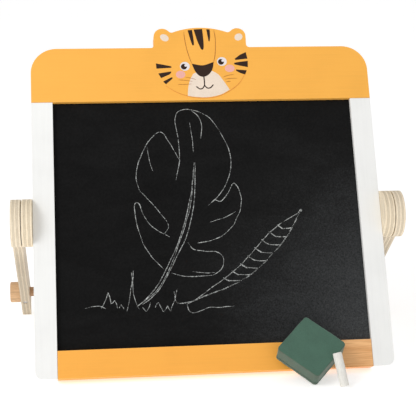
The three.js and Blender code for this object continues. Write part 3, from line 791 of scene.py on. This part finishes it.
def leaf_strokes():
    """A lobed leaf on a double stem."""
    return [
        ([(-36, 226), (-31, 249), (-31, 274), (-34, 300), (-29, 310), (-15, 312), (5, 303), (18, 285)], 1.3),
        ([(18, 285), (27, 263), (29, 243), (23, 222), (12, 206), (0, 195)], 1.4),
        ([(-15, 311), (-6, 303), (-3, 290), (-5, 276)], 1.1),
        ([(-17, 296), (-15, 278), (-14, 259)], 1.1),
        ([(-31, 251), (-41, 270), (-51, 285), (-64, 276), (-76, 255), (-82, 232), (-79, 215)], 1.2),
        ([(-79, 215), (-66, 200), (-51, 181), (-47, 171), (-52, 163)], 1.2),
        ([(-68, 267), (-66, 251), (-62, 237)], 1.0),
        ([(-46, 159), (-64, 170), (-74, 183), (-80, 199), (-85, 197), (-83, 175), (-77, 152)], 1.2),
        ([(-77, 152), (-68, 137), (-55, 122)], 1.1),
        ([(7, 202), (15, 200), (24, 210), (31, 221), (38, 208), (37, 190), (28, 171)], 1.3),
        ([(28, 171), (15, 159), (0, 153), (-15, 151)], 1.3),
        ([(1, 175), (18, 180), (31, 187)], 1.0),
        ([(-26, 152), (-20, 144), (-6, 141), (7, 140), (14, 132), (11, 120), (1, 113)], 1.2),
        ([(1, 113), (-17, 112), (-33, 113), (-46, 117)], 1.2),
        ([(-22, 118), (-9, 116), (3, 116)], 1.0),
        ([(-14, 247), (-18, 217), (-24, 191), (-31, 168), (-39, 147), (-50, 125), (-61, 105)], 1.5),
        ([(-61, 105), (-73, 91), (-87, 79)], 1.6),
        ([(-13, 247), (-15, 210), (-20, 182), (-28, 157), (-37, 140), (-47, 121), (-58, 102)], 1.5),
        ([(-58, 102), (-69, 90), (-80, 82)], 1.6),
        ([(-16, 230), (-20, 200), (-26, 178), (-44, 131), (-60, 102), (-78, 85)], 1.1),
    ]


def evenly(path, count):
    """Points at equal distances along a path."""
    lengths = [0.0]
    for start, end in zip(path, path[1:]):
        lengths.append(lengths[-1] + (end - start).length)
    spots, index = [], 0
    for step in range(count):
        goal = lengths[-1] * step / (count - 1)
        while index < len(path) - 2 and lengths[index + 1] < goal:
            index += 1
        share = (goal - lengths[index]) / (lengths[index + 1] - lengths[index])
        spots.append(path[index].lerp(path[index + 1], share))
    return spots


def feather_strokes():
    """A slim feather with barbs between its two edges."""
    lower = smooth_path([(-30, 81), (-5, 91), (23, 101), (46, 114), (67, 132), (89, 156), (107, 186)])
    upper = smooth_path([(-41, 82), (-24, 84), (-7, 95), (31, 122), (65, 157), (84, 172), (106, 184)])
    strokes = [(lower[::3] + [lower[-1]], 1.5), (lower[1::4] + [lower[-1]], 1.1)]
    strokes += [(upper[::3] + [upper[-1]], 1.2)]
    strokes += [([(-44, 96), (-43, 86), (-39, 82), (-30, 82)], 1.1)]
    strokes += [([(104, 183), (107, 187), (108, 185)], 1.9)]
    upper_run, lower_run = evenly(upper, FEATHER_STEPS + 1), evenly(lower, FEATHER_STEPS + 1)
    for barb in range(BARBS):
        place = BARB_FIRST + barb * BARB_STEP
        edge, foot = upper_run[place], lower_run[place + BARB_SLANT]
        fold = edge.lerp(lower_run[place], 0.5)
        strokes.append(([edge + Vector((-0.8, 1.2)), edge.lerp(fold, 0.6), fold], 1.9))
        strokes.append(([fold + Vector((-0.8, 0.6)), fold.lerp(foot, 0.5), foot], 1.4))
    return strokes


def grass_strokes():
    """Tufts of grass and a line of ground under the leaf."""
    strokes = [([(-144, 80), (-130, 82), (-121, 79)], 1.0)]
    blades = [
        (-126, 79, -118, 97), (-118, 97, -115, 84), (-115, 84, -111, 88), (-111, 88, -108, 79),
        (-106, 79, -104, 83), (-104, 83, -101, 78), (-98, 75, -93, 98), (-93, 98, -89, 121),
        (-91, 119, -90, 95), (-90, 95, -84, 77),
        (-80, 79, -76, 74), (-76, 74, -71, 84), (-66, 78, -62, 84), (-62, 84, -57, 73),
        (-57, 73, -52, 80), (-52, 80, -49, 73), (-49, 73, -43, 88), (-43, 88, -41, 98),
    ]
    for foot_x, foot_y, tip_x, tip_y in blades:
        bend = Vector(((foot_x + tip_x) / 2 + CHANCE.uniform(-1, 1), (foot_y + tip_y) / 2))
        strokes.append(([(foot_x, foot_y), bend, (tip_x, tip_y)], 1.1))
    strokes.append(([(-30, 81), (-28, 73), (-20, 71), (-6, 76), (8, 76), (23, 77)], 1.3))
    return strokes


def add_drawing():
    """Plain chalk marks on the board: a leaf, a feather and some grass."""
    verts, faces, across_values = [], [], []
    for points, width in leaf_strokes() + feather_strokes() + grass_strokes():
        add_stroke(verts, faces, across_values, points, width)
    mesh = bpy.data.meshes.new("chalk_drawing")
    mesh.from_pydata([BOARD @ Vector(vert) for vert in verts], [], faces)
    uv = mesh.uv_layers.new(name="across")
    for loop in mesh.loops:
        uv.data[loop.index].uv = (0.0, across_values[loop.vertex_index])
    bm = bmesh.new()
    bm.from_mesh(mesh)
    bmesh.ops.recalc_face_normals(bm, faces=bm.faces)
    bm.to_mesh(mesh)
    bm.free()
    link("chalk_drawing", mesh, mark_material(), "board")


# ---- Loose pieces ---------------------------------------------------------------------------------


def fine_surface(piece, voxel, bulge, grain):
    """Remeshes a piece finely, and gives it a slightly uneven surface."""
    remesh = piece.modifiers.new("fine", "REMESH")
    remesh.mode = "VOXEL"
    remesh.voxel_size = voxel * MM
    remesh.use_smooth_shade = True
    ready = piece.evaluated_get(bpy.context.evaluated_depsgraph_get())
    mesh = bpy.data.meshes.new_from_object(ready)
    piece.modifiers.clear()
    piece.data = mesh
    for vertex in mesh.vertices:
        lump = noise.noise(vertex.co / (bulge[0] * MM)) * bulge[1]
        pit = noise.noise(vertex.co / (grain[0] * MM)) * grain[1]
        vertex.co += vertex.normal * (lump + pit) * MM
    mesh.shade_smooth()


def add_eraser():
    """Foam block on a felt pad, standing on one corner."""
    face = (Matrix.Rotation(math.radians(ERASER_LEAN), 3, "X") @ Vector((0.0, 0.0, 1.0))).normalized()
    foam = eraser_material("green_foam_skin", "green_foam", (0.9, 0.9, 0.9), face)
    felt = eraser_material("green_pressed_felt", "green_felt", (0.5, 0.5, 2.0), face)
    block = refined("eraser_block", foam, FOAM_EDGE)
    pad = refined("eraser_felt", felt, FELT_EDGE)
    fine_surface(block, 0.8, (14, 0.25), (1.6, 0.05))
    fine_surface(pad, 0.7, (8, 0.2), (1.0, 0.12))


def add_chalk():
    """A stick of chalk with a worn top, softly rounded ends and small pits."""
    bm = welded_copy("chalk_stick")
    low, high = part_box("chalk_stick")
    centre = (low + high) / 2
    round_edges(bm, TURNED_EDGE * 2 * MM)
    mesh = to_mesh("chalk_stick", bm)
    piece = link("chalk_stick_worn", mesh, chalk_material(), "chalk", ["chalk_stick"])
    fine_surface(piece, 0.45, (6, 0.12), (0.9, 0.05))
    for vertex in piece.data.vertices:
        over = (vertex.co - centre).z / MM - CHALK_WEAR_START
        if over > 0:
            slope = (vertex.co - centre).x / MM
            vertex.co.z -= max(0.0, over * CHALK_WEAR + slope * CHALK_WEAR * min(over / 2, 1.0)) * MM


# ---- Room, light and camera -----------------------------------------------------------------------


def add_floor():
    """A wide pale floor with a little light of its own."""
    material, tree, shader = surface("pale_floor", Specular_IOR_Level=0.1)
    cloud = speckle(tree, (400, 400, 400), detail=2.0)
    colour = ramp(tree, cloud, (0.3, (0.85, 0.85, 0.85)), (0.7, (0.87, 0.87, 0.87)))
    finish(tree, shader, colour, between(tree, cloud, 0.3, 0.7, 0.85, 0.95))
    shader.inputs["Emission Color"].default_value = (1.0, 1.0, 1.0, 1.0)
    shader.inputs["Emission Strength"].default_value = FLOOR_GLOW
    mesh = bpy.data.meshes.new("floor")
    half = 30.0
    corners = [(-half, -half, 0), (half, -half, 0), (half, half, 0), (-half, half, 0)]
    mesh.from_pydata(corners, [], [(0, 1, 2, 3)])
    mesh.materials.append(material)
    floor = bpy.data.objects.new("floor", mesh)
    bpy.context.scene.collection.objects.link(floor)


def add_light():
    """A white room and a large soft lamp at the upper left."""
    world = bpy.data.worlds.new("studio")
    world.use_nodes = True
    background = world.node_tree.nodes["Background"]
    background.inputs["Color"].default_value = (1.0, 1.0, 1.0, 1.0)
    background.inputs["Strength"].default_value = ROOM_STRENGTH
    bpy.context.scene.world = world
    light = bpy.data.lights.new("key", "AREA")
    light.energy = LAMP_POWER
    light.size = LAMP_SIZE
    lamp = bpy.data.objects.new("key", light)
    lamp.location = HINGE + Vector(LAMP_FROM_HINGE)
    lamp.rotation_euler = (-Vector(LAMP_FROM_HINGE)).to_track_quat("-Z", "Y").to_euler()
    bpy.context.scene.collection.objects.link(lamp)


def add_camera():
    camera = bpy.data.cameras.new("camera")
    camera.lens = CAMERA_LENS
    place = bpy.data.objects.new("camera", camera)
    place.location = HINGE + Vector(CAMERA_FROM_HINGE)
    place.rotation_euler = (math.radians(90 - CAMERA_DROP), 0.0, math.radians(-CAMERA_HEADING))
    bpy.context.scene.collection.objects.link(place)
    bpy.context.scene.camera = place
    bpy.context.scene.view_settings.view_transform = "Standard"


add_frame_pieces()
add_face()
add_drawing()
add_eraser()
add_chalk()
add_floor()
add_light()
add_camera()
